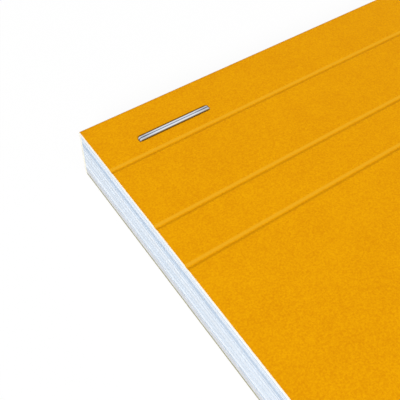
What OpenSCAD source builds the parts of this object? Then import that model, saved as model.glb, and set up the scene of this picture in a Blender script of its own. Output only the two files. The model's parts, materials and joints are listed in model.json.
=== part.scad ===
// Notepad stapled at its head: a block of leaves on a stiff board, wrapped in one sheet of coated card.
// The card covers the back, turns round the head and comes down over the front.
// Three pressed scores cross the front, and the front cover swings on the one nearest the head.
// The pad lies on its back: +Z up through the front cover, +Y towards the stapled head,
// with the origin in the middle of the back.

/* [Pad] */
// Width across the trimmed pad
pad_w = 85; // [60:1:150]
// Length from head to foot
pad_l = 120; // [90:1:210]
// Number of leaves in the block
leaf_count = 80; // [40:20:100]
// Thickness of one leaf
leaf_t = 0.095; // [0.08:0.005:0.12]
// Leaves gathered in each sheaf
sheaf_leaves = 20; // [10:10:20]
// Thickness of the backing board
board_t = 1.2; // [1:0.1:2]

/* [Cover card] */
// Thickness of the card
card_t = 0.45; // [0.25:0.05:0.45]
// Outer radius of the two folds at the head
fold_r = 0.5; // [0.5:0.05:1]
// Head to the first score, where the front cover hinges
score_1 = 10; // [9:0.1:14]
// Head to the second score
score_2 = 22.2; // [16:0.1:24]
// Head to the third score
score_3 = 29.9; // [26:0.1:40]
// Width of the groove that a score presses into the card
score_w = 1.2; // [0.8:0.1:1.6]
// Depth of the groove that a score presses into the card
score_d = 0.16; // [0.08:0.02:0.18]

/* [Staples] */
// Width of a crown, outside to outside of its legs
crown_w = 13.2; // [12:0.1:16]
// Side edge of the pad to the near end of a crown
staple_inset = 6.7; // [4:0.1:12]
// Head to the centre line of the crowns
staple_drop = 6.8; // [4:0.1:7]
// Width of one of the two strands that lie side by side in the wire
strand_w = 0.46; // [0.44:0.02:0.6]
// Thickness of the wire
wire_t = 0.5; // [0.44:0.02:0.6]
// Corner radius of a strand
strand_r = 0.2; // [0.1:0.02:0.2]
// Straight length of each leg clinched flat on the back
clinch_l = 4.6; // [2:0.2:4.6]

/* [Hidden] */
$fn = 48;

head_y = pad_l / 2;
foot_y = -pad_l / 2;
block_t = leaf_count * leaf_t;
board_top = card_t + board_t;
pad_t = board_top + block_t + card_t;
score_ys = [for (s = [score_1, score_2, score_3]) head_y - s];
hinge_y = score_ys[0];

// Air under the closed front cover, and round a leg in its slit
cover_gap = 0.02;
leg_gap = 0.02;

// How far the two strands of the wire run into each other along their bond
strand_lap = 0.02;

// The seam between two sheaves: hardly open at the head, wider towards the free foot
seam_t = 0.08;
seam_head = 0.05;
seam_foot = 0.3;

// Staple bends, and how far the wire is pressed into the card on each face
bend_r = 0.9 * wire_t;
bend_out = bend_r + wire_t / 2;
crown_sink = 0.15;
clinch_sink = 0.02;
crown_z = pad_t - crown_sink + wire_t / 2;
clinch_z = clinch_sink + wire_t / 2;
leg_x = crown_w / 2 - wire_t / 2;
bend_x = crown_w / 2 - bend_out;
tip_x = bend_x - clinch_l;
tip_angle = 40;
staple_x = pad_w / 2 - staple_inset - crown_w / 2;
staple_y = head_y - staple_drop;

// The dent that a clinched leg presses into the back, with its rounded ends
dent_r = strand_w + 0.12;
dent_wall = 0.25;
dent_top = clinch_sink + wire_t;
dent_in = tip_x + 0.3;
dent_out = crown_w / 2 - 0.36;

card_orange = "#E89E03";
paper_white = "#E9F0FA";
board_grey = "#D6D8DC";
wire_steel = "#C9CDD3";

function arc_radius(width, height) = (width * width / 4 + height * height) / (2 * height);

// Extrudes a section drawn in (y, z) across the width of the pad
module across() {
    translate([-pad_w / 2, 0, 0])
        rotate([90, 0, 90])
            linear_extrude(pad_w)
                children();
}

// Keeps the stretch of a (y, z) section from one y to another
module stretch(from_y, to_y) {
    intersection() {
        children();
        translate([from_y, -1])
            square([to_y - from_y, pad_t + 2]);
    }
}

// Section of the round-bottomed groove of a score, to be cut away
module score_groove(y) {
    radius = arc_radius(score_w, score_d);
    translate([y, pad_t - score_d + radius])
        circle(radius);
}

// Section of the whole scored front panel, foot to head fold
module front_panel() {
    difference() {
        translate([foot_y, pad_t - card_t])
            square([pad_l - fold_r, card_t]);
        for (y = score_ys)
            score_groove(y);
    }
}

// Section of a quarter turn of card that closes towards +Y and +Z
module quarter_fold() {
    intersection() {
        difference() {
            circle(fold_r);
            circle(fold_r - card_t);
        }
        square(fold_r);
    }
}

// Section of the card from the first score round the head and down the back
module wrap_section() {
    stretch(hinge_y, head_y)
        front_panel();
    translate([head_y - fold_r, pad_t - fold_r])
        quarter_fold();
    translate([head_y - card_t, fold_r])
        square([card_t, pad_t - 2 * fold_r]);
    translate([head_y - fold_r, fold_r])
        mirror([0, 1])
            quarter_fold();
    translate([foot_y, 0])
        square([pad_l - fold_r, card_t]);
}

// Repeats what is drawn about a staple's own middle at both staples
module at_staples() {
    for (side = [-1, 1])
        translate([side * staple_x, staple_y, 0])
            children();
}

// Repeats what is drawn for the leg on +X at both legs of both staples
module at_legs() {
    at_staples()
        for (turn = [0, 180])
            rotate([0, 0, turn])
                children();
}

// Slit for a leg: its inner side reaches in by the given depth, to pass a bend if need be
module leg_slit(depth, from_z, to_z) {
    translate([crown_w / 2 - depth - leg_gap, -strand_w - leg_gap, from_z])
        cube([depth + 2 * leg_gap, 2 * (strand_w + leg_gap), to_z - from_z]);
}

// Bed that the crown presses into the front of the card
module crown_bed() {
    translate([-crown_w / 2 - leg_gap, -strand_w - leg_gap, pad_t - crown_sink])
        cube([crown_w + 2 * leg_gap, 2 * (strand_w + leg_gap), 2 * wire_t]);
}

// Round-ended block along a clinched leg
module clinch_slot(radius, from_z, to_z) {
    height = to_z - from_z;
    translate([0, 0, from_z]) {
        translate([dent_in, -radius, 0])
            cube([dent_out - dent_in, 2 * radius, height]);
        for (x = [dent_in, dent_out])
            translate([x, 0, 0])
                cylinder(r = radius, h = height);
    }
}

// Section of one strand, a square with rounded corners
module strand_section() {
    square([strand_w, wire_t - 2 * strand_r], center = true);
    square([strand_w - 2 * strand_r, wire_t], center = true);
    for (x = [-1, 1], y = [-1, 1])
        translate([x * (strand_w / 2 - strand_r), y * (wire_t / 2 - strand_r)])
            circle(strand_r);
}

// Section of the wire: two strands glued side by side
module wire_section() {
    for (side = [-1, 1])
        translate([side * (strand_w / 2 - strand_lap), 0])
            strand_section();
}

module wire_along_x(from_x, to_x, z) {
    translate([from_x, 0, z])
        rotate([90, 0, 90])
            linear_extrude(to_x - from_x)
                wire_section();
}

module wire_along_z(x, from_z, to_z) {
    translate([x, 0, from_z])
        linear_extrude(to_z - from_z)
            rotate(90)
                wire_section();
}

// Quarter bend of the wire about an axis along Y, starting at the given angle above +X
module wire_bend(z, start) {
    translate([bend_x, 0, z])
        rotate([90, 0, 0])
            rotate([0, 0, start])
                rotate_extrude(angle = 90)
                    translate([bend_r, 0])
                        rotate(90)
                            wire_section();
}

// One leg on +X: down through the pad, turned inwards and cut to a chisel tip on the back
module staple_leg() {
    wire_bend(crown_z - bend_r, 0);
    wire_along_z(leg_x, clinch_z + bend_r, crown_z - bend_r);
    wire_bend(clinch_z + bend_r, -90);
    difference() {
        wire_along_x(tip_x, bend_x, clinch_z);
        translate([tip_x, 0, clinch_sink])
            rotate([0, tip_angle, 0])
                translate([-wire_t * 3, -strand_w * 2, -wire_t])
                    cube([wire_t * 3, strand_w * 4, wire_t * 4]);
    }
}

module staple(side) {
    translate([side * staple_x, staple_y, 0]) {
        wire_along_x(-bend_x, bend_x, crown_z);
        for (turn = [0, 180])
            rotate([0, 0, turn])
                staple_leg();
    }
}

// Outline of the leaves in plan, drawn in from the trimmed edges at the head and at the foot
module leaf_outline(inset_head, inset_foot) {
    block_head = head_y - fold_r;
    side = pad_w / 2;
    polygon([
        [-side + inset_head, block_head],
        [-side + inset_foot, foot_y + inset_foot],
        [side - inset_foot, foot_y + inset_foot],
        [side - inset_head, block_head]
    ]);
}

module wraparound_cover() {
    color(card_orange)
        difference() {
            union() {
                across()
                    wrap_section();
                at_legs()
                    clinch_slot(dent_r + dent_wall, card_t / 2, dent_top + card_t);
            }
            at_legs() {
                clinch_slot(dent_r, -1, dent_top);
                leg_slit(bend_out, -1, dent_top + 2 * card_t);
                leg_slit(bend_out, pad_t - 2 * card_t, pad_t + 1);
            }
            at_staples()
                crown_bed();
        }
}

module front_cover() {
    color(card_orange)
        across()
            stretch(foot_y, hinge_y)
                front_panel();
}

module page_block() {
    sheaf_t = sheaf_leaves * leaf_t;
    sheaves = leaf_count / sheaf_leaves;
    color(paper_white)
        difference() {
            union() {
                translate([0, 0, board_top])
                    linear_extrude(block_t - cover_gap)
                        leaf_outline(seam_head, seam_foot);
                for (i = [0 : sheaves - 1]) {
                    bottom = i == 0 ? 0 : i * sheaf_t + seam_t / 2;
                    top = i == sheaves - 1 ? block_t - cover_gap : (i + 1) * sheaf_t - seam_t / 2;
                    translate([0, 0, board_top + bottom])
                        linear_extrude(top - bottom)
                            leaf_outline(0, 0);
                }
            }
            at_legs()
                leg_slit(wire_t, 0, pad_t);
        }
}

module backing_board() {
    color(board_grey)
        difference() {
            translate([0, 0, card_t])
                linear_extrude(board_t)
                    leaf_outline(0, 0);
            at_legs() {
                clinch_slot(dent_r + dent_wall + leg_gap, 0, dent_top + card_t + leg_gap);
                leg_slit(bend_out, 0, pad_t);
            }
        }
}

module staple_left() {
    color(wire_steel)
        staple(-1);
}

module staple_right() {
    color(wire_steel)
        staple(1);
}

wraparound_cover();
front_cover();
page_block();
backing_board();
staple_left();
staple_right();
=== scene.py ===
"""Pocket notepad stapled at its head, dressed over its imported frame.

One sheet of orange coated card wraps white leaves, gathered in sheaves, and a pale grey board.
Two bright steel staples hold the head. Lengths are in millimetres until a mesh or lamp is made.
"""

import json
import logging
import math
from dataclasses import dataclass, field
from enum import Enum
from typing import Any, Iterable, Optional, Sequence, Union

import bmesh
import bpy
import numpy as np
from mathutils import Matrix, Vector


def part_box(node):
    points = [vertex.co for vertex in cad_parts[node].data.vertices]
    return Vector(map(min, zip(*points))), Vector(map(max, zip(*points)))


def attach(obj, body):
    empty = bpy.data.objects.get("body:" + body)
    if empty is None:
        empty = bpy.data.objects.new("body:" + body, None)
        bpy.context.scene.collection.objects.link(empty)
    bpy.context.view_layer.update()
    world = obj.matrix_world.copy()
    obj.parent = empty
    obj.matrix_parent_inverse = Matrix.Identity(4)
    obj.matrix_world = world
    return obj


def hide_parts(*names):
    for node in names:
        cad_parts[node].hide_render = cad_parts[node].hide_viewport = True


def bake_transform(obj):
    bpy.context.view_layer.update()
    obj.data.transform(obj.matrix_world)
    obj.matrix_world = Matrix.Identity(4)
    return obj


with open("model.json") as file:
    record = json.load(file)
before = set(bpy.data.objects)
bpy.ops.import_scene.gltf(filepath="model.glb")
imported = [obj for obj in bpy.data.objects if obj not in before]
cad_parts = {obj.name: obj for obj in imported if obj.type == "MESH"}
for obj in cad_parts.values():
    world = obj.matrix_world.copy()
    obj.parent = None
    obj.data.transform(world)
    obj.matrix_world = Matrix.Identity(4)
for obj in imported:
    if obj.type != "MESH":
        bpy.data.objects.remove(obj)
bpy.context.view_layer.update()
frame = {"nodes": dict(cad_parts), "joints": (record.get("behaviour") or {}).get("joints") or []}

LOG = logging.getLogger("notepad")

# One millimetre in metres
MM = 0.001

# Angle in degrees above which an edge of a mesh stays sharp
SHARP_DEG = 50.0

# Values from 0 to 1 at a mesh's points, by which a material paints sheen and shade over its piece
# Painted sheen on the lit flank of each score
SCORE_SHEEN = "painted_score_sheen"
# Painted shade beside each crown
CROWN_SHADE = "painted_crown_shade"
# Painted shade on leaf edges that stand back
LEAF_SHADE = "painted_leaf_shade"
# Painted shade on the wire towards each bend
BEND_SHADE = "painted_bend_shade"

# Colour sockets of a Mix node, which share their names with its sockets of other kinds
MIX_A = 6
MIX_B = 7
MIX_OUT = 2

WHITE = (1.0, 1.0, 1.0, 1.0)

# Slack in counting steps, so that a rounding error adds none
ROUNDING = 1e-9


def linear(hex_code: str) -> tuple[float, float, float, float]:
    """Turns an sRGB hex colour into a linear RGBA colour.

    Args:
        hex_code: Six hex digits, with or without a leading hash.

    Returns:
        Red, green and blue from 0 to 1 in linear light, and an alpha of 1.
    """
    digits = hex_code.lstrip("#")
    channels = [int(digits[i:i + 2], 16) / 255 for i in (0, 2, 4)]
    lit = [c / 12.92 if c <= 0.04045 else ((c + 0.055) / 1.055) ** 2.4 for c in channels]
    return (*lit, 1.0)


def add_node(
    tree: bpy.types.NodeTree,
    kind: str,
    inputs: Optional[dict[Union[str, int], Any]] = None,
    **settings: Any,
) -> bpy.types.Node:
    """Adds a shader node with its settings and links.

    Args:
        tree: The node tree that takes the node.
        kind: The node's type name in Blender.
        inputs: Value, or output socket to link, for each input by name or number.
        settings: Properties of the node itself.

    Returns:
        The new node.
    """
    node = tree.nodes.new(kind)
    for name, value in settings.items():
        setattr(node, name, value)
    for key, value in (inputs or {}).items():
        if isinstance(value, bpy.types.NodeSocket):
            tree.links.new(value, node.inputs[key])
        else:
            node.inputs[key].default_value = value
    return node


def new_tree(name: str) -> tuple[bpy.types.Material, bpy.types.NodeTree]:
    """Makes a node material with no nodes.

    Args:
        name: Name of the material.

    Returns:
        The material and its node tree.
    """
    material = bpy.data.materials.new(name)
    material.use_nodes = True
    material.node_tree.nodes.clear()
    return material, material.node_tree


def per_metre(size_mm: float) -> float:
    """Texture scale at which one feature of a pattern is this many millimetres."""
    return 1 / (size_mm * MM)


def tinted(
    tree: bpy.types.NodeTree,
    colour: bpy.types.NodeSocket,
    mark: str,
    tint: str,
) -> bpy.types.NodeSocket:
    """Mixes a tint into a colour where the mesh is marked.

    Args:
        tree: The material's node tree.
        colour: Output that gives the colour so far.
        mark: Name of the values that say how much tint a point takes.
        tint: Hex colour of a full mark.

    Returns:
        Output that gives the mixed colour.
    """
    share = add_node(tree, "ShaderNodeAttribute", attribute_name=mark)
    mixed = add_node(tree, "ShaderNodeMix", {
        "Factor": share.outputs["Fac"],
        MIX_A: colour,
        MIX_B: linear(tint),
    }, data_type="RGBA")
    return mixed.outputs[MIX_OUT]


@dataclass(frozen=True)
class CoatedCard:
    """Coated card, calendered smooth and printed with one solid orange.

    The coating gives a soft even sheen, and the pulp under it a fine tight mottle. Paler ink on the
    lit flank of each score is a painted sheen, and dark ink beside each crown is painted shade. The
    real mottle is about a tenth of a millimetre, too fine to show, so it is drawn as coarse as
    grain_mm.

    Attributes:
        name: Name of the material.
        light: Ink at its palest.
        dark: Ink at its darkest.
        sheen_ink: Painted sheen: paler ink on the flank of a score that faces the light.
        crown_shade_ink: Painted shade: dark ink beside a crown, reaching furthest on its head side.
        grain_mm: Size of the mottle.
        cloud_mm: Size of the slow clouds in the ink.
        cloud_share: Weight of the clouds against the mottle.
        tone_range: Sums of mottle and clouds that show the dark and the light ink.
        grain_height_mm: Height of the mottle's relief.
        roughness: Roughness of the coating.
        specular: Specular level of the coating.
    """

    name: str = "coated_card_calendered"
    light: str = "#F2AA04"
    dark: str = "#E09203"
    sheen_ink: str = "#DDA11D"
    crown_shade_ink: str = "#5A3A0C"
    grain_mm: float = 0.24
    cloud_mm: float = 4.0
    cloud_share: float = 0.2
    tone_range: tuple[float, float] = (0.4, 0.8)
    grain_height_mm: float = 0.01
    roughness: float = 0.55
    specular: float = 0.03

    def material(self) -> bpy.types.Material:
        """Builds the printed face of the card.

        Returns:
            The material, which reads the painted sheen of the scores and the painted shade of the
            crowns.
        """
        material, tree = new_tree(self.name)
        where = add_node(tree, "ShaderNodeTexCoord").outputs["Object"]
        grain = add_node(tree, "ShaderNodeTexNoise", {
            "Vector": where,
            "Scale": per_metre(self.grain_mm),
            "Detail": 2.0,
            "Roughness": 0.6,
        })
        cloud = add_node(tree, "ShaderNodeTexNoise", {
            "Vector": where,
            "Scale": per_metre(self.cloud_mm),
            "Detail": 2.0,
        })
        tone = add_node(tree, "ShaderNodeMath", {
            0: cloud.outputs["Fac"],
            1: self.cloud_share,
            2: grain.outputs["Fac"],
        }, operation="MULTIPLY_ADD")
        spread = add_node(tree, "ShaderNodeMapRange", {
            "Value": tone.outputs[0],
            "From Min": self.tone_range[0],
            "From Max": self.tone_range[1],
        })
        ink = add_node(tree, "ShaderNodeMix", {
            "Factor": spread.outputs[0],
            MIX_A: linear(self.dark),
            MIX_B: linear(self.light),
        }, data_type="RGBA")
        # Painted sheen: paler ink on the lit flank of each score
        scored = tinted(tree, ink.outputs[MIX_OUT], SCORE_SHEEN, self.sheen_ink)
        bump = add_node(tree, "ShaderNodeBump", {
            "Height": grain.outputs["Fac"],
            "Distance": self.grain_height_mm * MM,
            "Strength": 1.0,
        })
        shader = add_node(tree, "ShaderNodeBsdfPrincipled", {
            # Painted shade: dark ink beside each crown, deepest on the side where its shadow falls
            "Base Color": tinted(tree, scored, CROWN_SHADE, self.crown_shade_ink),
            "Normal": bump.outputs[0],
            "Roughness": self.roughness,
            "Specular IOR Level": self.specular,
        })
        add_node(tree, "ShaderNodeOutputMaterial", {"Surface": shader.outputs[0]})
        return material


@dataclass(frozen=True)
class PaperStock:
    """Uncoated pulp, seen on its face or where the guillotine cut it.

    A face is matt with soft fibre clouds. A cut edge shows hair-thin lines along the sheet, and
    takes painted shade where its sheets stand back from the rest. A single fibre or leaf is too
    fine to show, so clouds and lines are drawn as coarse as fibre_mm.

    Attributes:
        name: Name of the material.
        light: Pulp at its palest.
        dark: Pulp at its darkest.
        fibre_mm: Length of a cloud or line along X, Y and Z.
        fibre_height_mm: Height of the fibres' relief.
        contrast: Noise values that show the dark and the light pulp.
        roughness: Roughness of the pulp.
        specular: Specular level of the pulp.
        shaded_pulp: Painted shade: pulp where a sheet stands furthest back, or empty for no shade.
    """

    name: str
    light: str
    dark: str
    fibre_mm: tuple[float, float, float]
    fibre_height_mm: float = 0.004
    contrast: tuple[float, float] = (0.3, 0.7)
    roughness: float = 0.8
    specular: float = 0.15
    shaded_pulp: str = ""

    def material(self) -> bpy.types.Material:
        """Builds the paper, with its fibres drawn out along each axis as the sizes say.

        Returns:
            The material, which reads the painted shade of the leaves where it has a shade colour.
        """
        material, tree = new_tree(self.name)
        where = add_node(tree, "ShaderNodeTexCoord").outputs["Object"]
        drawn = add_node(tree, "ShaderNodeMapping", {
            "Vector": where,
            "Scale": tuple(per_metre(size) for size in self.fibre_mm),
        })
        fibre = add_node(tree, "ShaderNodeTexNoise", {
            "Vector": drawn.outputs[0],
            "Scale": 1.0,
            "Detail": 4.0,
            "Roughness": 0.6,
        })
        spread = add_node(tree, "ShaderNodeMapRange", {
            "Value": fibre.outputs["Fac"],
            "From Min": self.contrast[0],
            "From Max": self.contrast[1],
        })
        mixed = add_node(tree, "ShaderNodeMix", {
            "Factor": spread.outputs[0],
            MIX_A: linear(self.dark),
            MIX_B: linear(self.light),
        }, data_type="RGBA")
        pulp = mixed.outputs[MIX_OUT]
        if self.shaded_pulp:
            # Painted shade on cut edges that stand back among their neighbours
            pulp = tinted(tree, pulp, LEAF_SHADE, self.shaded_pulp)
        bump = add_node(tree, "ShaderNodeBump", {
            "Height": fibre.outputs["Fac"],
            "Distance": self.fibre_height_mm * MM,
            "Strength": 1.0,
        })
        shader = add_node(tree, "ShaderNodeBsdfPrincipled", {
            "Base Color": pulp,
            "Normal": bump.outputs[0],
            "Roughness": self.roughness,
            "Specular IOR Level": self.specular,
        })
        add_node(tree, "ShaderNodeOutputMaterial", {"Surface": shader.outputs[0]})
        return material


@dataclass(frozen=True)
class DrawnWire:
    """Galvanised steel wire, drawn through a die and pressed flat.

    Drawing leaves fine bright lines along the wire, so its gloss is streaked and a little soft.
    It darkens in painted shade towards a bend, and is bright round the bend itself.
    The real lines are about a hundredth of a millimetre apart, too fine to show, so they are drawn
    as coarse as streak_mm.

    Attributes:
        name: Name of the material.
        light: Wire along a bright line.
        dark: Wire between the lines.
        bend_shade_tint: Painted shade on the wire just before a bend.
        streak_mm: Length of a line along X, Y and Z.
        rough: Lowest and highest roughness, from line to line.
    """

    name: str = "galvanised_steel_drawn"
    light: str = "#F0F2F4"
    dark: str = "#DADEE3"
    bend_shade_tint: str = "#BCBFC4"
    streak_mm: tuple[float, float, float] = (6.0, 0.06, 0.06)
    rough: tuple[float, float] = (0.2, 0.34)

    def material(self) -> bpy.types.Material:
        """Builds the wire.

        Returns:
            The material, which reads the painted shade towards the bends.
        """
        material, tree = new_tree(self.name)
        where = add_node(tree, "ShaderNodeTexCoord").outputs["Object"]
        drawn = add_node(tree, "ShaderNodeMapping", {
            "Vector": where,
            "Scale": tuple(per_metre(size) for size in self.streak_mm),
        })
        streak = add_node(tree, "ShaderNodeTexNoise", {
            "Vector": drawn.outputs[0],
            "Scale": 1.0,
            "Detail": 3.0,
        })
        steel = add_node(tree, "ShaderNodeMix", {
            "Factor": streak.outputs["Fac"],
            MIX_A: linear(self.dark),
            MIX_B: linear(self.light),
        }, data_type="RGBA")
        gloss = add_node(tree, "ShaderNodeMapRange", {
            "Value": streak.outputs["Fac"],
            "To Min": self.rough[0],
            "To Max": self.rough[1],
        })
        shader = add_node(tree, "ShaderNodeBsdfPrincipled", {
            # Painted shade on the wire towards each bend
            "Base Color": tinted(tree, steel.outputs[MIX_OUT], BEND_SHADE, self.bend_shade_tint),
            "Roughness": gloss.outputs[0],
            "Metallic": 1.0,
        })
        add_node(tree, "ShaderNodeOutputMaterial", {"Surface": shader.outputs[0]})
        return material


CARD_PRINT = CoatedCard()

# Bare inside of the cover: unprinted pulp, warm white with soft clouds
CARD_BACK = PaperStock("white_lined_pulp_card", "#F6F4EE", "#EAE7DE", (1.6, 1.6, 1.6))

# Cut of the card on the front and round the head: clean bright pulp
CARD_CUT = PaperStock("white_pulp_card_guillotined", "#FFFDF0", "#FCF6E2", (3.0, 3.0, 0.12))

# Cut of the flat back, next to the floor: painted shade, so it reads as a dark line
CARD_SHADED_CUT = PaperStock("white_pulp_card_painted_shade", "#B2AE8C", "#9B9673", (3.0, 3.0, 0.12))

# Face of a leaf: cool white, matt and nearly even
LEAF_FACE = PaperStock("uncoated_wove_paper", "#F1F5FB", "#E8EEF7", (2.2, 2.2, 2.2))

# Trimmed edge of the leaves: bright lines along the sheets, and painted shade, bluer, where a lift
# stands back
LEAF_EDGE = PaperStock(
    "wove_paper_guillotined", "#FFFFFF", "#EAF3FB", (24.0, 24.0, 0.34),
    contrast=(0.34, 0.66), shaded_pulp="#A8BED5",
)

# Raw board: short grey fibres that stand out more than the paper's
GREY_BOARD = PaperStock(
    "grey_pulp_board_guillotined", "#E0E2E6", "#CACDD2", (2.5, 2.5, 0.3), fibre_height_mm=0.02,
)

STEEL_WIRE = DrawnWire()

# Lacquer between the strands, and painted shade on their flanks: bluer, darker, less glossy than steel
WIRE_LACQUER_AND_SHADE = DrawnWire(
    "galvanised_steel_lacquer_and_painted_shade", "#B4BFD3", "#98A4BC", "#565E70", rough=(0.35, 0.5),
)


class FaceKind(Enum):
    """Side of a thin sheet that a face is on. Its value is the face's material slot."""

    OUTER = 0
    INNER = 1
    CUT = 2
    # Cut of the flat back, in painted shade
    SHADED_CUT = 3


class WireFace(Enum):
    """What shows on a face of a staple's wire. Its value is the face's material slot."""

    STEEL = 0
    LACQUER_AND_SHADE = 1


@dataclass
class Sheet:
    """Thin closed sheet between two grids of points, pierced where a leg passes.

    The sheet shows its pulp where it is trimmed. A leg drags the outer face into its slit.

    Attributes:
        outer: Points of the outer face in millimetres, rows by columns by three.
        inner: Points of the inner face, in the same order.
        cut_through: True for each cell of the grid that is open.
    """

    outer: np.ndarray
    inner: np.ndarray
    cut_through: np.ndarray

    def mesh(self, first: int = 0) -> tuple[list[Sequence[float]], list[tuple[int, ...]], list[int]]:
        """Lists the sheet's points and faces.

        Args:
            first: Number that the first point takes.

        Returns:
            The points, the faces as point numbers, and each face's material slot.
        """
        rows, columns = self.outer.shape[:2]
        points = np.concatenate([self.outer.reshape(-1, 3), self.inner.reshape(-1, 3)])
        below = rows * columns
        number = first + np.arange(rows * columns).reshape(rows, columns)
        solid = np.zeros((rows + 1, columns + 1), bool)
        solid[1:-1, 1:-1] = ~self.cut_through
        faces, slots = [], []
        for r in range(rows - 1):
            for c in range(columns - 1):
                if not solid[r + 1, c + 1]:
                    continue
                a, b = int(number[r, c]), int(number[r, c + 1])
                d, e = int(number[r + 1, c]), int(number[r + 1, c + 1])
                faces.append((a, b, e, d))
                slots.append(FaceKind.OUTER.value)
                faces.append((a + below, d + below, e + below, b + below))
                slots.append(FaceKind.INNER.value)
                sides = (
                    (solid[r, c + 1], r == 0, a, b),
                    (solid[r + 2, c + 1], r == rows - 2, e, d),
                    (solid[r + 1, c], c == 0, d, a),
                    (solid[r + 1, c + 2], c == columns - 2, b, e),
                )
                for joined, trimmed, p, q in sides:
                    if not joined:
                        faces.append((q, p, p + below, q + below))
                        slots.append((FaceKind.CUT if trimmed else FaceKind.OUTER).value)
        return points.tolist(), faces, slots


def make_piece(
    name: str,
    points: Sequence[Sequence[float]],
    faces: Sequence[tuple[int, ...]],
    materials: Iterable[bpy.types.Material],
    slots: Optional[Sequence[int]] = None,
    marks: Optional[dict[str, np.ndarray]] = None,
) -> bpy.types.Object:
    """Makes a mesh object from millimetre points.

    Args:
        name: Name of the piece.
        points: Points in millimetres.
        faces: Faces as point numbers.
        materials: Materials of the piece's slots.
        slots: Material slot of each face, or none for the first.
        marks: Values from 0 to 1 at each point, by name, that the materials read.

    Returns:
        The object, linked to the scene and not yet on any body.
    """
    data = bpy.data.meshes.new(name)
    data.from_pydata((np.asarray(points) * MM).tolist(), [], faces)
    for material in materials:
        data.materials.append(material)
    if slots is not None:
        data.polygons.foreach_set("material_index", list(slots))
    data.polygons.foreach_set("use_smooth", [True] * len(faces))
    shell = bmesh.new()
    shell.from_mesh(data)
    bmesh.ops.recalc_face_normals(shell, faces=shell.faces)
    shell.to_mesh(data)
    shell.free()
    data.set_sharp_from_angle(angle=math.radians(SHARP_DEG))
    for mark, values in (marks or {}).items():
        data.attributes.new(mark, "FLOAT", "POINT").data.foreach_set("value", values.ravel())
    piece = bpy.data.objects.new(name, data)
    bpy.context.scene.collection.objects.link(piece)
    return piece


def node_box(node: str) -> tuple[np.ndarray, np.ndarray]:
    """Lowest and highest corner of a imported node, in millimetres."""
    low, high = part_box(node)
    return np.array(low) / MM, np.array(high) / MM


def grid_lines(
    low: float,
    high: float,
    step: float,
    zones: Sequence[tuple[float, float, float]] = (),
    exact: Sequence[float] = (),
) -> np.ndarray:
    """Places grid lines from one end to the other, closer together inside zones.

    Args:
        low: First line.
        high: Last line.
        step: Largest step anywhere.
        zones: Middle, half width and step of each finer stretch.
        exact: Places that must lie on a line.

    Returns:
        The lines in rising order.
    """
    fixed = sorted({low, high, *exact})
    marks = list(fixed)
    for middle, half, fine in zones:
        # A fine line closer than this to a fixed one would leave a sliver
        least = fine / 3
        for mark in np.linspace(middle - half, middle + half, max(2, round(2 * half / fine) + 1)):
            clear = min(abs(mark - f) for f in fixed)
            if low < mark < high and clear > least:
                marks.append(float(mark))
    marks.sort()
    lines = [low]
    for a, b in zip(marks, marks[1:]):
        count = max(1, math.ceil((b - a) / step - ROUNDING))
        lines += [a + (b - a) * i / count for i in range(1, count + 1)]
    return np.array(lines)


def hump(distance: np.ndarray, half: float) -> np.ndarray:
    """Raised cosine: 1 in the middle, 0 from half a width away."""
    near = np.clip(np.abs(distance) / half, 0, 1)
    return 0.5 + 0.5 * np.cos(math.pi * near)


def rising_flank(distance: np.ndarray, half: float) -> np.ndarray:
    """Steepness, from 0 to 1, of a groove's flank on the side of growing distance."""
    return np.sin(math.pi * np.clip(distance / half, 0, 1))


@dataclass(frozen=True)
class PadFrame:
    """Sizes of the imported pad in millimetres.

    Attributes:
        half_width: Half the width of the pad.
        head_y: Y of the head.
        foot_y: Y of the foot.
        top_z: Height of the cover's face.
        card: Thickness of the card.
        fold_radius: Outer radius of the folds at the head.
        hinge_y: Y of the first score, where the cover hinges.
        hinge_z: Height of the hinge's axis.
        block_head_y: Y of the leaves' head.
        block_low: Height of the lowest leaf's underside.
        block_high: Height of the top leaf's face.
    """

    half_width: float
    head_y: float
    foot_y: float
    top_z: float
    card: float
    fold_radius: float
    hinge_y: float
    hinge_z: float
    block_head_y: float
    block_low: float
    block_high: float

    @classmethod
    def packed(cls) -> "PadFrame":
        """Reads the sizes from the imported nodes.

        Returns:
            The sizes of the pad.
        """
        wrap_low, wrap_high = node_box("wraparound_cover")
        _, flap_high = node_box("front_cover")
        block_low, block_high = node_box("page_block")
        board_low, _ = node_box("backing_board")
        # The board lies on the back sheet, so the height of its underside is the card's thickness
        card = board_low[2]
        hinge = np.array(frame["joints"][0]["pos_m"]) / MM
        return cls(
            half_width=wrap_high[0],
            head_y=wrap_high[1],
            foot_y=wrap_low[1],
            top_z=flap_high[2],
            card=card,
            fold_radius=wrap_high[1] - block_high[1],
            hinge_y=hinge[1],
            hinge_z=hinge[2],
            block_head_y=block_high[1],
            block_low=block_low[2],
            block_high=block_high[2],
        )


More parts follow.
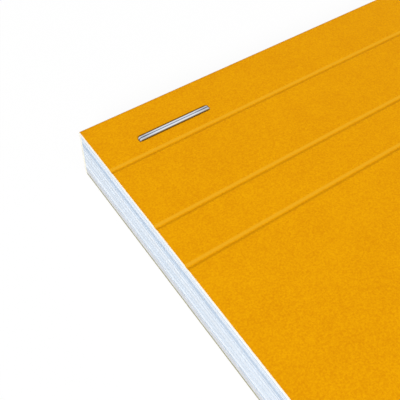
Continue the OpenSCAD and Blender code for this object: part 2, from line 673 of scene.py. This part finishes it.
@dataclass
class Staple:
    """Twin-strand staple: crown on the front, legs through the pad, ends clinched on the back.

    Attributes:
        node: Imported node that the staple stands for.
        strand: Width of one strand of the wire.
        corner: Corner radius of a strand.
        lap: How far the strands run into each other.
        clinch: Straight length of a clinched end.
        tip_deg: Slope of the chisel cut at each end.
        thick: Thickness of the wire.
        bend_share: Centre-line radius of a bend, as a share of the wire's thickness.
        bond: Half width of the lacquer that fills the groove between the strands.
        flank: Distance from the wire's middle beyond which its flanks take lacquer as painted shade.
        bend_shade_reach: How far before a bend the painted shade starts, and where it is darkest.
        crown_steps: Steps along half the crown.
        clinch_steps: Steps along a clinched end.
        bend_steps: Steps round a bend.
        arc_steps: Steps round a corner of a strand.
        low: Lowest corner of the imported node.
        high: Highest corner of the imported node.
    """

    node: str
    strand: float = 0.46
    corner: float = 0.2
    lap: float = 0.02
    clinch: float = 4.6
    tip_deg: float = 40.0
    thick: float = 0.5
    bend_share: float = 0.54
    bond: float = 0.085
    flank: float = 0.4
    bend_shade_reach: tuple[float, float] = (2.5, 0.1)
    crown_steps: int = 12
    clinch_steps: int = 6
    bend_steps: int = 10
    arc_steps: int = 5
    low: np.ndarray = field(init=False)
    high: np.ndarray = field(init=False)

    def __post_init__(self) -> None:
        """Takes the staple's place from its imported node."""
        self.low, self.high = node_box(self.node)

    @property
    def middle(self) -> tuple[float, float]:
        """X and Y of the crown's middle."""
        return (self.low[0] + self.high[0]) / 2, (self.low[1] + self.high[1]) / 2

    @property
    def half_crown(self) -> float:
        """Half the crown's width, to the outside of a leg."""
        return (self.high[0] - self.low[0]) / 2

    @property
    def half_wire(self) -> float:
        """Half the width of the wire."""
        return (self.high[1] - self.low[1]) / 2

    @property
    def bend(self) -> float:
        """Centre-line radius of a bend."""
        return self.bend_share * self.thick

    @property
    def bend_x(self) -> float:
        """Distance from the crown's middle to where a bend starts."""
        return self.half_crown - self.bend - self.thick / 2

    @property
    def tip_x(self) -> float:
        """Distance from the crown's middle to the tip of a clinched end."""
        return self.bend_x - self.clinch

    def section(self) -> list[tuple[float, float]]:
        """Draws the outline of the wire's section.

        Returns:
            Points of the outline: across the strands, and out from the pad.
        """
        shift = self.strand / 2 - self.lap
        inner = shift - (self.strand / 2 - self.corner)
        outer = shift + (self.strand / 2 - self.corner)
        rise = self.thick / 2 - self.corner
        groove = math.acos(inner / self.corner)
        arcs = (
            (inner, -rise, math.pi + groove, 1.5 * math.pi),
            (outer, -rise, 1.5 * math.pi, 2 * math.pi),
            (outer, rise, 0.0, 0.5 * math.pi),
            (inner, rise, 0.5 * math.pi, math.pi - groove),
        )
        half = []
        for across, up, start, stop in arcs:
            for angle in np.linspace(start, stop, self.arc_steps + 1):
                cosine, sine = math.cos(angle), math.sin(angle)
                half.append((across + self.corner * cosine, up + self.corner * sine))
        return half + [(-u, v) for u, v in reversed(half[1:-1])]

    def half_path(self) -> list[tuple[float, float, float, float]]:
        """Lists the stations from the crown's middle to one tip.

        Returns:
            X and height of each station, then X and Z of the outward direction there.
        """
        crown_z = self.high[2] - self.thick / 2
        clinch_z = self.low[2] + self.thick / 2
        crown_xs = np.linspace(0, self.bend_x, self.crown_steps + 1)
        path = [(x, crown_z, 0.0, 1.0) for x in crown_xs[:-1]]
        for centre_z, start in ((crown_z - self.bend, 90.0), (clinch_z + self.bend, 0.0)):
            for angle in np.radians(np.linspace(start, start - 90.0, self.bend_steps + 1)):
                out_x, out_z = math.cos(angle), math.sin(angle)
                x, z = self.bend_x + self.bend * out_x, centre_z + self.bend * out_z
                path.append((x, z, out_x, out_z))
        clinch_xs = np.linspace(self.bend_x, self.tip_x, self.clinch_steps + 1)
        path += [(x, clinch_z, 0.0, -1.0) for x in clinch_xs[1:]]
        return path

    def bend_shading(self, x: float) -> float:
        """How much painted shade the wire takes, from 0 to 1, at a distance from the crown's middle."""
        to_bend = self.bend_x - abs(x)
        return float(np.interp(to_bend, (-self.bend, *reversed(self.bend_shade_reach)), (0, 1, 0)))

    def build(self, materials: Sequence[bpy.types.Material]) -> bpy.types.Object:
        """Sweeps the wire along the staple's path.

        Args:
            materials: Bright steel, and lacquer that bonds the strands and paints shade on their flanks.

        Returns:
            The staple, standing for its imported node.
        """
        right = self.half_path()
        left = [(-x, z, -out_x, out_z) for x, z, out_x, out_z in reversed(right[1:])]
        stations = left + right
        section = self.section()
        slope = math.tan(math.radians(self.tip_deg))
        mid_x, mid_y = self.middle
        points, faces, slots = [], [], []
        for i, (x, z, out_x, out_z) in enumerate(stations):
            for across, up in section:
                chisel = 0.0
                if i in (0, len(stations) - 1):
                    chisel = math.copysign((self.thick / 2 - up) * slope, x)
                points.append((mid_x + x + out_x * up + chisel, mid_y + across, z + out_z * up))
        count = len(section)
        for i in range(len(stations) - 1):
            for k in range(count):
                follow = (k + 1) % count
                a, b = i * count + k, i * count + follow
                faces.append((a, b, b + count, a + count))
                off = abs(section[k][0] + section[follow][0]) / 2
                # Lacquer in the groove bonds the strands; on the flanks it is painted shade
                bond_or_flank_shade = off < self.bond or off > self.flank
                slots.append((WireFace.LACQUER_AND_SHADE if bond_or_flank_shade else WireFace.STEEL).value)
        for end in (0, len(stations) - 1):
            faces.append(tuple(end * count + k for k in range(count)))
            slots.append(WireFace.STEEL.value)
        # Painted shade towards each bend, on the wire's face and not its flanks
        on_face = [abs(across) < self.flank for across, _ in section]
        marks = {BEND_SHADE: np.outer([self.bend_shading(station[0]) for station in stations], on_face)}
        piece = make_piece(f"{self.node}_wire", points, faces, materials, slots, marks=marks)
        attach(piece, "pad")
        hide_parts(self.node)
        return piece


@dataclass(frozen=True)
class GridSteps:
    """Steps of a sheet's grid in millimetres, fine where a staple presses it out of flat.

    Attributes:
        flat: Largest step from row to row.
        margin: How far the fine rows reach past a pressed mark.
        row: Step of the fine rows.
        column: Step of the fine columns.
    """

    flat: float
    margin: float
    row: float
    column: float


@dataclass
class CoverCard:
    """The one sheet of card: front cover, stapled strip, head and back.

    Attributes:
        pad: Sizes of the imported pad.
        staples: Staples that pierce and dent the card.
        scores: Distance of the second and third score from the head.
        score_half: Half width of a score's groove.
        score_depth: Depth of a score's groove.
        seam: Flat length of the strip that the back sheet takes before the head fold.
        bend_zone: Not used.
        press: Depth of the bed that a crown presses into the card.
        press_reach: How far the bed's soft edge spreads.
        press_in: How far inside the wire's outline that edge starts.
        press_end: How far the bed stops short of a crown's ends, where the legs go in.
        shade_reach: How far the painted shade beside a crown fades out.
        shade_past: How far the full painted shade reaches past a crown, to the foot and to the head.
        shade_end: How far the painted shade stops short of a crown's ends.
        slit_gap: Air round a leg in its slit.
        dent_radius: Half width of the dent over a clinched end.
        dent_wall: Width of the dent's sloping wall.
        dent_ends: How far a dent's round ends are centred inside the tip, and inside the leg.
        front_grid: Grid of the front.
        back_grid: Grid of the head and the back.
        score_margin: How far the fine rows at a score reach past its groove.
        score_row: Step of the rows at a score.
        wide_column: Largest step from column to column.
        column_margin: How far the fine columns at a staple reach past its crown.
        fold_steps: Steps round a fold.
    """

    pad: PadFrame
    staples: Sequence[Staple]
    scores: tuple[float, float] = (22.2, 29.9)
    score_half: float = 0.61
    score_depth: float = 0.16
    seam: float = 0.4
    bend_zone: float = 0.45
    press: float = 0.15
    press_reach: float = 0.1
    press_in: float = 0.08
    press_end: float = 0.5
    shade_reach: float = 0.12
    shade_past: tuple[float, float] = (-0.15, 0.27)
    shade_end: float = 0.4
    slit_gap: float = 0.02
    dent_radius: float = 0.6
    dent_wall: float = 0.28
    dent_ends: tuple[float, float] = (0.3, 0.36)
    front_grid: GridSteps = GridSteps(flat=2.5, margin=0.7, row=0.05, column=0.25)
    back_grid: GridSteps = GridSteps(flat=3.0, margin=0.5, row=0.1, column=0.15)
    score_margin: float = 0.1
    score_row: float = 0.06
    wide_column: float = 2.0
    column_margin: float = 1.2
    fold_steps: int = 10

    @property
    def score_ys(self) -> list[float]:
        """Y of each score, the hinge first."""
        return [self.pad.hinge_y, *(self.pad.head_y - s for s in self.scores)]

    def slits(self) -> list[tuple[float, float, float, float]]:
        """Lists the slits that the legs pass through.

        Returns:
            Low and high X, then low and high Y, of each slit.
        """
        found = []
        for staple in self.staples:
            mid_x, mid_y = staple.middle
            half = staple.half_wire + self.slit_gap
            inner, outer = staple.bend_x - self.slit_gap, staple.half_crown + self.slit_gap
            for low, high in ((-outer, -inner), (inner, outer)):
                found.append((mid_x + low, mid_x + high, mid_y - half, mid_y + half))
        return found

    def open_cells(self, xs: np.ndarray, ys: np.ndarray, allowed: np.ndarray) -> np.ndarray:
        """Marks the cells that lie in a leg's slit.

        Args:
            xs: Grid lines across the pad.
            ys: Y of each row of points.
            allowed: True for each row of cells that a leg pierces.

        Returns:
            True for each open cell, rows by columns.
        """
        cell_x = (xs[1:] + xs[:-1]) / 2
        cell_y = (ys[1:] + ys[:-1]) / 2
        opened = np.zeros((len(cell_y), len(cell_x)), bool)
        for low_x, high_x, low_y, high_y in self.slits():
            hit_x = (cell_x > low_x) & (cell_x < high_x)
            hit_y = (cell_y > low_y) & (cell_y < high_y) & allowed
            opened |= hit_y[:, None] & hit_x[None, :]
        return opened

    def columns(self, fine: float) -> np.ndarray:
        """Grid lines across the pad, close together at the staples.

        Args:
            fine: Step at the staples.

        Returns:
            The lines in rising order.
        """
        zones = [(s.middle[0], s.half_crown + self.column_margin, fine) for s in self.staples]
        exact = [x for low, high, _, _ in self.slits() for x in (low, high)]
        return grid_lines(-self.pad.half_width, self.pad.half_width, self.wide_column, zones, exact)

    def slit_rows(self) -> list[float]:
        """Y of both sides of every slit."""
        return [y for _, _, low, high in self.slits() for y in (low, high)]

    def crown_bite(
        self,
        x: np.ndarray,
        y: np.ndarray,
        reach: float,
        past: tuple[float, float] = (0.0, 0.0),
        short: float = 0.0,
    ) -> np.ndarray:
        """How deep the crowns bite at points of the strip.

        Args:
            x: X of the points.
            y: Y of the points.
            reach: How far the bite fades out beside a crown.
            past: How far the full bite reaches past a crown, to the foot and to the head.
            short: How far the bite stops short of a crown's ends.

        Returns:
            1 under a crown, fading to 0 beside it.
        """
        bite = np.zeros(np.broadcast(x, y).shape)
        for staple in self.staples:
            past_x = np.maximum(np.abs(x - staple.middle[0]) - staple.half_crown + short, 0)
            low_y, high_y = staple.low[1] - past[0], staple.high[1] + past[1]
            past_y = np.maximum(np.maximum(y - high_y, low_y - y), 0)
            bite += np.exp(-(past_x ** 2 + past_y ** 2) / reach ** 2)
        return bite

    def clinch_dent(self, x: np.ndarray, y: np.ndarray) -> np.ndarray:
        """How deep the dents over the clinched ends are at points of the back.

        Args:
            x: X of the points.
            y: Y of the points.

        Returns:
            Depth of the dent at each point.
        """
        depth = np.zeros(np.broadcast(x, y).shape)
        in_tip, in_leg = self.dent_ends
        for staple in self.staples:
            mid_x, mid_y = staple.middle
            full = staple.low[2] + staple.thick
            along = np.abs(x - mid_x)
            past = along - np.clip(along, staple.tip_x + in_tip, staple.half_crown - in_leg)
            gap = np.hypot(past, y - mid_y) - self.dent_radius
            wall = np.clip(1 - gap / self.dent_wall, 0, 1)
            depth = np.maximum(depth, full * wall * wall * (3 - 2 * wall))
        return depth

    def build_front(self, materials: Sequence[bpy.types.Material]) -> bpy.types.Object:
        """Builds the stapled strip, the scores and the front cover as one sheet.

        Args:
            materials: Printed face, bare face and cut of the card.

        Returns:
            The sheet, standing for the front cover.
        """
        pad, grid = self.pad, self.front_grid
        zones = [(y, self.score_half + self.score_margin, self.score_row) for y in self.score_ys]
        # Both staples lie on one line, so the first gives the rows of both
        staple = self.staples[0]
        zones.append((staple.middle[1], staple.half_wire + grid.margin, grid.row))
        strip_end = pad.head_y - pad.fold_radius - self.seam
        ys = grid_lines(pad.foot_y, strip_end, grid.flat, zones, self.slit_rows())
        xs = self.columns(grid.column)
        x, y = np.meshgrid(xs, ys)
        groove = self.score_depth * sum(hump(y - score, self.score_half) for score in self.score_ys)
        bed = self.crown_bite(x, y, self.press_reach, (-self.press_in, -self.press_in), self.press_end)
        top = pad.top_z - groove - self.press * bed
        under = np.full_like(x, pad.top_z - pad.card)
        sheet = Sheet(
            np.stack([x, y, top], -1),
            np.stack([x, y, under], -1),
            self.open_cells(xs, ys, np.ones(len(ys) - 1, bool)),
        )
        # Painted sheen on the flank of each score that faces the light
        flanks = sum(rising_flank(y - score, self.score_half) for score in self.score_ys)
        # Painted shade beside each crown, deepest on its head side
        crown_shade_share = self.crown_bite(x, y, self.shade_reach, self.shade_past, self.shade_end)
        marks = {SCORE_SHEEN: np.stack([flanks, 0 * x]), CROWN_SHADE: np.stack([crown_shade_share, 0 * x])}
        points, faces, slots = sheet.mesh()
        piece = make_piece("front_cover_card", points, faces, materials, slots, marks=marks)
        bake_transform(piece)
        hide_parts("front_cover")
        return piece

    def build_back(self, materials: Sequence[bpy.types.Material]) -> bpy.types.Object:
        """Builds the head fold and the back, with the dents of the clinched ends.

        Args:
            materials: Printed face, bare face, cut, and cut of the flat back in painted shade.

        Returns:
            The sheet, standing for the wraparound cover.
        """
        pad, grid = self.pad, self.back_grid
        radius = pad.fold_radius
        centre_y = pad.head_y - radius
        outer = [(centre_y - self.seam, pad.top_z)]
        inner = [(centre_y - self.seam, pad.top_z - pad.card)]
        for centre_z, start in ((pad.top_z - radius, 90.0), (radius, 0.0)):
            for angle in np.radians(np.linspace(start, start - 90.0, self.fold_steps + 1)):
                for row, r in ((outer, radius), (inner, radius - pad.card)):
                    row.append((centre_y + r * math.cos(angle), centre_z + r * math.sin(angle)))
        zones = [(self.staples[0].middle[1], self.dent_radius + grid.margin, grid.row)]
        back_ys = grid_lines(pad.foot_y, centre_y, grid.flat, zones, self.slit_rows())[::-1][1:]
        turn_rows = len(outer)
        outer += [(y, 0.0) for y in back_ys]
        inner += [(y, pad.card) for y in back_ys]
        xs = self.columns(grid.column)
        on_back = np.arange(len(outer)) >= turn_rows
        faces_at = []
        for side in (outer, inner):
            line = np.array(side)
            x, y = np.meshgrid(xs, line[:, 0])
            z = line[:, 1][:, None] + self.clinch_dent(x, y) * on_back[:, None]
            faces_at.append(np.stack([x, y, z], -1))
        ys = np.array(outer)[:, 0]
        sheet = Sheet(faces_at[0], faces_at[1], self.open_cells(xs, ys, on_back[1:]))
        points, faces, slots = sheet.mesh()
        for i, face in enumerate(faces):
            if slots[i] != FaceKind.CUT.value:
                continue
            # The flat back's cut, next to the floor, takes painted shade; the folds and the front keep a
            # clean cut
            _, mid_y, mid_z = np.mean([points[p] for p in face], axis=0)
            if mid_y < centre_y and mid_z < radius:
                slots[i] = FaceKind.SHADED_CUT.value
        piece = make_piece("wraparound_cover_card", points, faces, materials, slots)
        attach(piece, "pad")
        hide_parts("wraparound_cover")
        return piece


@dataclass
class LeafBlock:
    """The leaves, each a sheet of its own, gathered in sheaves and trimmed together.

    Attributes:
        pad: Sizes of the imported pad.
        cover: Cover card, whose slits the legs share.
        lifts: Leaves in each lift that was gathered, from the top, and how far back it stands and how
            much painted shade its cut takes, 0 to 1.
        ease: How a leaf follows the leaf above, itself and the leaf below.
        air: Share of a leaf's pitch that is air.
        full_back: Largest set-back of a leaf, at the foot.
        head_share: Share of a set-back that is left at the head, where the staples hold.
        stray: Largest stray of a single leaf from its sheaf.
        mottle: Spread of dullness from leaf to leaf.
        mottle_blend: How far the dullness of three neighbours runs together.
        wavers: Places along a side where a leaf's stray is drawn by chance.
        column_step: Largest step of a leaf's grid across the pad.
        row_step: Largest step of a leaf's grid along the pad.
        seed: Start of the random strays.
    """

    pad: PadFrame
    cover: CoverCard
    lifts: tuple[tuple[int, float], ...] = (
        (5, 0.0), (5, 0.37), (7, 0.19), (7, 0.9), (9, 0.72), (7, 0.18), (8, 0.61), (6, 0.39),
        (14, 0.5), (9, 0.29), (3, 0.75),
    )
    ease: tuple[float, float, float] = (0.25, 0.5, 0.25)
    air: float = 0.06
    full_back: float = 0.1
    head_share: float = 0.55
    stray: float = 0.03
    # mottle: Random spread of the painted shade from leaf to leaf.
    mottle: float = 0.27
    # mottle_blend: How far that spread runs together over three neighbouring leaves.
    mottle_blend: tuple[float, float, float] = (0.5, 0.7, 0.5)
    wavers: int = 9
    column_step: float = 12.0
    row_step: float = 8.0
    seed: int = 227

    def recesses(self) -> np.ndarray:
        """How far each leaf stands back, from 0 to 1, from the top leaf down."""
        counts, backs = zip(*self.lifts)
        return np.convolve(np.pad(np.repeat(backs, counts), 1, "edge"), self.ease, "valid")

    def build(self, materials: Sequence[bpy.types.Material]) -> bpy.types.Object:
        """Builds every leaf in one mesh.

        Args:
            materials: Upper face, lower face and trimmed edge of a leaf.

        Returns:
            The leaves, standing for the page block.
        """
        pad = self.pad
        chance = np.random.default_rng(self.seed)
        recesses = self.recesses()
        pitch = (pad.block_high - pad.block_low) / len(recesses)
        slit_xs = [x for low, high, _, _ in self.cover.slits() for x in (low, high)]
        xs = grid_lines(-pad.half_width, pad.half_width, self.column_step, (), slit_xs)
        ys = grid_lines(pad.foot_y, pad.block_head_y, self.row_step, (), self.cover.slit_rows())
        opened = self.cover.open_cells(xs, ys, np.ones(len(ys) - 1, bool))
        x, y = np.meshgrid(xs, ys)
        to_foot = (pad.block_head_y - y) / (pad.block_head_y - pad.foot_y)
        draws = chance.normal(size=len(recesses) + len(self.mottle_blend) - 1)
        uneven = self.mottle * np.convolve(draws, self.mottle_blend, "valid")
        places = np.linspace(pad.foot_y, pad.head_y, self.wavers)
        points, faces, slots, edge_shades = [], [], [], []
        for leaf, recess in enumerate(recesses):
            back = recess * self.full_back
            drift = back * (self.head_share + (1 - self.head_share) * to_foot)
            left = np.interp(ys, places, chance.uniform(0, self.stray, self.wavers))
            right = np.interp(ys, places, chance.uniform(0, self.stray, self.wavers))
            at_x = x.copy()
            at_x[:, 0] += drift[:, 0] + left
            at_x[:, -1] -= drift[:, -1] + right
            at_y = y.copy()
            at_y[0, :] += back + chance.uniform(0, self.stray)
            high = pad.block_high - leaf * pitch
            low = high - pitch * (1 - self.air)
            sheet = Sheet(
                np.stack([at_x, at_y, np.full_like(x, high)], -1),
                np.stack([at_x, at_y, np.full_like(x, low)], -1),
                opened,
            )
            more_points, more_faces, more_slots = sheet.mesh(len(points))
            points += more_points
            faces += more_faces
            slots += more_slots
            # Painted shade on the cut of a leaf that stands back, with a random spread from leaf to leaf
            edge_shade = np.clip(recess + uneven[leaf] * (recess > 0), 0, 1)
            edge_shades.append(np.full(len(more_points), edge_shade))
        marks = {LEAF_SHADE: np.concatenate(edge_shades)}
        piece = make_piece("page_block_leaves", points, faces, materials, slots, marks=marks)
        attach(piece, "pad")
        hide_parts("page_block")
        return piece


@dataclass
class Studio:
    """Pale floor, soft light and the camera.

    Attributes:
        pad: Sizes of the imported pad.
        floor_size: Side of the floor in metres.
        floor_drop: How far the floor lies below the pad, so that their faces don't meet.
        sensor: Width of the camera's sensor.
        lens: Focal length of the camera.
        near: Nearest distance that the camera sees, in metres.
        eye: Camera's place from the cover's head-left corner.
        azimuth_deg: Heading of the view, from +Y towards +X.
        dip_deg: How far the view looks down.
        roll_deg: Tilt of the frame.
        ambient: Even light from all round, as a share of the level at which colours show true.
        bounce: Share of light that the floor throws back on the pad.
        floor_glow: Share of the floor's white that stays where a shadow falls.
        key_from: Place of the soft box in metres.
        key_size: Side of the soft box in metres.
        key_watts: Power of the soft box.
        sky_edge: Colour of the studio's walls, low down, as metal mirrors them.
        wall_rise: Upward share of a mirrored ray where the walls start to pale, and are white.
    """

    pad: PadFrame
    floor_size: float = 8.0
    floor_drop: float = 0.02
    sensor: float = 36.0
    lens: float = 58.3
    near: float = 0.005
    eye: tuple[float, float, float] = (-25.76, -67.65, 72.37)
    azimuth_deg: float = 36.16
    dip_deg: float = 51.74
    roll_deg: float = 1.97
    ambient: float = 0.45
    bounce: float = 0.52
    floor_glow: float = 0.93
    key_from: tuple[float, float, float] = (-0.85, -0.89, 0.86)
    key_size: float = 0.4
    key_watts: float = 21.9
    sky_edge: str = "#8B97AD"
    wall_rise: tuple[float, float] = (0.1, 0.6)

    def build_camera(self) -> None:
        """Places the camera at the photograph's angle."""
        data = bpy.data.cameras.new("camera")
        data.sensor_width = self.sensor
        data.lens = self.lens
        data.clip_start = self.near
        camera = bpy.data.objects.new("camera", data)
        bpy.context.scene.collection.objects.link(camera)
        azimuth, dip = math.radians(self.azimuth_deg), math.radians(self.dip_deg)
        ahead = Vector((
            math.sin(azimuth) * math.cos(dip),
            math.cos(azimuth) * math.cos(dip),
            -math.sin(dip),
        ))
        level = Vector((math.cos(azimuth), -math.sin(azimuth), 0))
        right = Matrix.Rotation(-math.radians(self.roll_deg), 3, ahead) @ level
        up = right.cross(ahead)
        turn = Matrix((right, up, -ahead)).transposed()
        corner = Vector((-self.pad.half_width, self.pad.head_y, self.pad.top_z))
        camera.matrix_world = Matrix.Translation((corner + Vector(self.eye)) * MM) @ turn.to_4x4()
        bpy.context.scene.camera = camera

    @staticmethod
    def seen_ray(tree: bpy.types.NodeTree) -> tuple[bpy.types.NodeSocket, bpy.types.NodeSocket]:
        """Tells the rays that see the stage from those that light the pad.

        Args:
            tree: Node tree of the floor or the world.

        Returns:
            Outputs that are 1 for camera rays, and for glossy and transmission rays.
        """
        path = add_node(tree, "ShaderNodeLightPath")
        mirrored = add_node(tree, "ShaderNodeMath", {
            0: path.outputs["Is Glossy Ray"],
            1: path.outputs["Is Transmission Ray"],
        }, operation="MAXIMUM")
        return path.outputs["Is Camera Ray"], mirrored.outputs[0]

    def build_floor(self) -> None:
        """Lays the pale floor, partly self-lit where it is seen so that it reads as white."""
        half = self.floor_size / 2 / MM
        turns = ((-1, -1), (1, -1), (1, 1), (-1, 1))
        corners = [(x * half, y * half, -self.floor_drop) for x, y in turns]
        material, tree = new_tree("white_paper_sweep")
        direct, mirrored = self.seen_ray(tree)
        seen = add_node(tree, "ShaderNodeMath", {0: direct, 1: mirrored}, operation="MAXIMUM")
        shade = 1 - self.floor_glow
        matt = add_node(tree, "ShaderNodeBsdfDiffuse", {"Color": (shade, shade, shade, 1.0)})
        glow = add_node(tree, "ShaderNodeEmission", {
            "Color": WHITE,
            "Strength": self.floor_glow,
        })
        shown = add_node(tree, "ShaderNodeAddShader", {0: matt.outputs[0], 1: glow.outputs[0]})
        lights = (self.bounce, self.bounce, self.bounce, 1.0)
        plain = add_node(tree, "ShaderNodeBsdfDiffuse", {"Color": lights})
        either = add_node(tree, "ShaderNodeMixShader", {
            0: seen.outputs[0],
            1: plain.outputs[0],
            2: shown.outputs[0],
        })
        add_node(tree, "ShaderNodeOutputMaterial", {"Surface": either.outputs[0]})
        floor = make_piece("floor", corners, [(0, 1, 2, 3)], [material])

    def build_world(self) -> None:
        """Surrounds the pad with even light, seen as white and mirrored as grey walls."""
        world = bpy.data.worlds.new("studio")
        world.use_nodes = True
        tree = world.node_tree
        tree.nodes.clear()
        direct, mirrored = self.seen_ray(tree)
        heading = add_node(tree, "ShaderNodeTexCoord")
        parts = add_node(tree, "ShaderNodeSeparateXYZ", {0: heading.outputs["Generated"]})
        height = add_node(tree, "ShaderNodeMapRange", {
            "Value": parts.outputs["Z"],
            "From Min": self.wall_rise[0],
            "From Max": self.wall_rise[1],
        })
        walls = add_node(tree, "ShaderNodeMix", {
            "Factor": height.outputs[0],
            MIX_A: linear(self.sky_edge),
            MIX_B: WHITE,
        }, data_type="RGBA")
        lit = add_node(tree, "ShaderNodeBackground", {"Color": WHITE, "Strength": self.ambient})
        room = add_node(tree, "ShaderNodeBackground", {"Color": walls.outputs[MIX_OUT], "Strength": 1.0})
        seen = add_node(tree, "ShaderNodeBackground", {"Color": WHITE, "Strength": 1.0})
        around = add_node(tree, "ShaderNodeMixShader", {
            0: mirrored,
            1: lit.outputs[0],
            2: room.outputs[0],
        })
        total = add_node(tree, "ShaderNodeMixShader", {
            0: direct,
            1: around.outputs[0],
            2: seen.outputs[0],
        })
        add_node(tree, "ShaderNodeOutputWorld", {"Surface": total.outputs[0]})
        bpy.context.scene.world = world

    def build_soft_box(self) -> None:
        """Hangs the square soft box that faces the pad, hidden from what metal mirrors."""
        data = bpy.data.lights.new("front_soft_box", "AREA")
        data.size = self.key_size
        data.energy = self.key_watts
        lamp = bpy.data.objects.new("front_soft_box", data)
        lamp.location = self.key_from
        lamp.rotation_mode = "QUATERNION"
        lamp.rotation_quaternion = (-Vector(self.key_from)).to_track_quat("-Z", "Y")
        lamp.visible_glossy = False
        bpy.context.scene.collection.objects.link(lamp)

    def build(self) -> None:
        """Builds the stage, the light and the camera."""
        bpy.context.scene.view_settings.view_transform = "Standard"
        self.build_floor()
        self.build_world()
        self.build_soft_box()
        self.build_camera()


def main() -> None:
    """Builds the stage and every piece of the pad."""
    logging.basicConfig(level=logging.INFO, format="%(name)s: %(message)s")
    pad = PadFrame.packed()
    Studio(pad).build()
    staples = [Staple("staple_left"), Staple("staple_right")]
    cover = CoverCard(pad, staples)
    printed, bare, clean_cut = (stock.material() for stock in (CARD_PRINT, CARD_BACK, CARD_CUT))
    face, edge = LEAF_FACE.material(), LEAF_EDGE.material()
    wire = [STEEL_WIRE.material(), WIRE_LACQUER_AND_SHADE.material()]
    pieces = [
        cover.build_front([printed, bare, clean_cut]),
        cover.build_back([printed, bare, clean_cut, CARD_SHADED_CUT.material()]),
        LeafBlock(pad, cover).build([face, face, edge]),
        *(staple.build(wire) for staple in staples),
    ]
    board = frame["nodes"]["backing_board"]
    board.data.materials.clear()
    board.data.materials.append(GREY_BOARD.material())
    for piece in [*pieces, board]:
        LOG.info("%s: %d faces", piece.name, len(piece.data.polygons))


if __name__ == "__main__":
    main()
